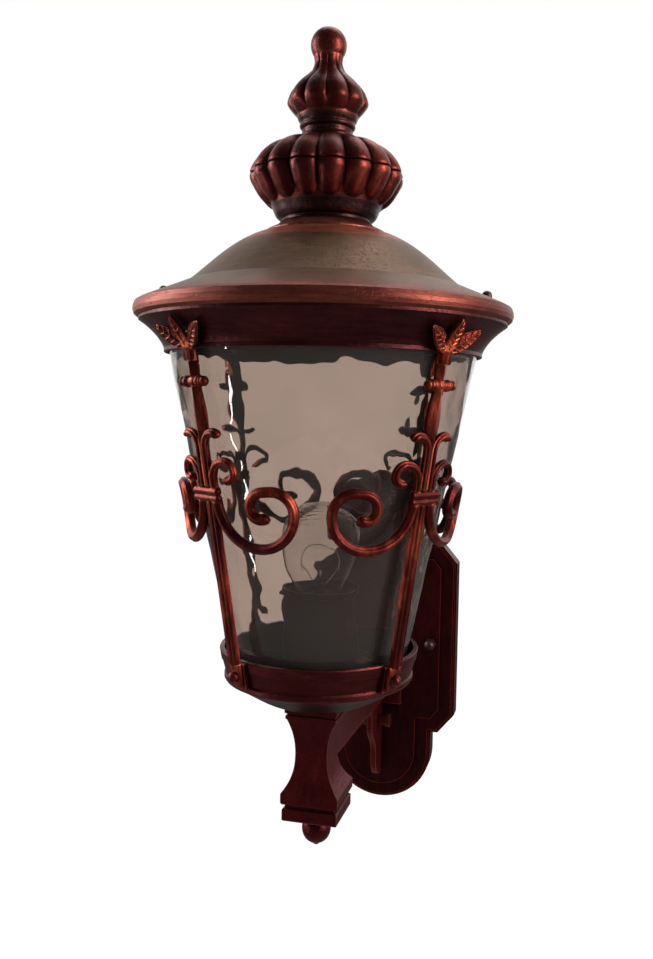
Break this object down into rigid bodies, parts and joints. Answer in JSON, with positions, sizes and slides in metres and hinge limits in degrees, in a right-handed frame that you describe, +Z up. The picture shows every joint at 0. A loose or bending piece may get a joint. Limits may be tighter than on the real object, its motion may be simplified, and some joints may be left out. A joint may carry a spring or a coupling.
{
  "type": "wall lantern",
  "caption": "Outdoor wall lantern: domed roof with a lobed finial, tapered rippled glass shade in scrolled straps, a cup below, and an arm on a wall plate.",
  "frame": {"origin": "centre of the wall plate's back face, on the wall", "axes": "+Z up, +Y towards the wall, +X to the right for someone who faces the wall"},
  "size_m": [0.28, 0.385, 0.6727],
  "materials": {
    "plate_finish": "dark copper patina on a casting",
    "arm_finish": "dark copper patina on a casting",
    "cup_finish": "dark copper patina, brushed edges",
    "ring_finish": "dark copper patina, brushed edges",
    "strap_finish": "brushed red copper over a dark coat",
    "roof_finish": "streaky brown bronze, brushed copper edges",
    "crown_finish": "near-black brown with copper on the high places",
    "copper_fasteners": "copper coloured",
    "dark_fasteners": "dark brown",
    "plated_steel": "zinc plated",
    "brass_parts": "plain brass",
    "shade_glass": "clear, rippled",
    "lamp_bulb_glass": "clear",
    "stem_glass": "clear",
    "lamp_cap_metal": "plain",
    "cover_finish": "dark brown",
    "holder_porcelain": "glazed cream",
    "seal_rubber": "matt"
  },
  "bodies": {
    "root": {"wall_plate": "plate_finish", "arm": "arm_finish", "drop_finial": "arm_finish", "cup": "cup_finish", "upper_ring": "ring_finish", "strap_front_left": "strap_finish", "strap_front_right": "strap_finish", "strap_back_right": "strap_finish", "strap_back_left": "strap_finish", "roof": "roof_finish", "crown_lower": "crown_finish", "crown_upper": "crown_finish", "finial_top": "crown_finish", "strap_foot_screws": "copper_fasteners", "heel_bolt": "copper_fasteners", "heel_nut": "copper_fasteners", "plate_cap_nuts": "dark_fasteners", "roof_cap_nuts": "dark_fasteners", "wall_bracket": "plated_steel", "plate_studs": "plated_steel", "arm_screws": "plated_steel", "roof_studs": "plated_steel", "strap_head_screws": "plated_steel", "finial_rod": "plated_steel", "finial_washer": "plated_steel", "finial_nut": "plated_steel", "cup_washer": "plated_steel", "cup_tube": "brass_parts", "cup_nut": "brass_parts", "lamp_shell": "brass_parts", "lamp_contact": "brass_parts", "glass_shade": "shade_glass", "lamp_glass": "lamp_bulb_glass", "lamp_stem": "stem_glass", "lamp_cap": "lamp_cap_metal", "lamp_cover": "cover_finish", "lampholder": "holder_porcelain", "glass_seal": "seal_rubber"}
  },
  "joints": []
}
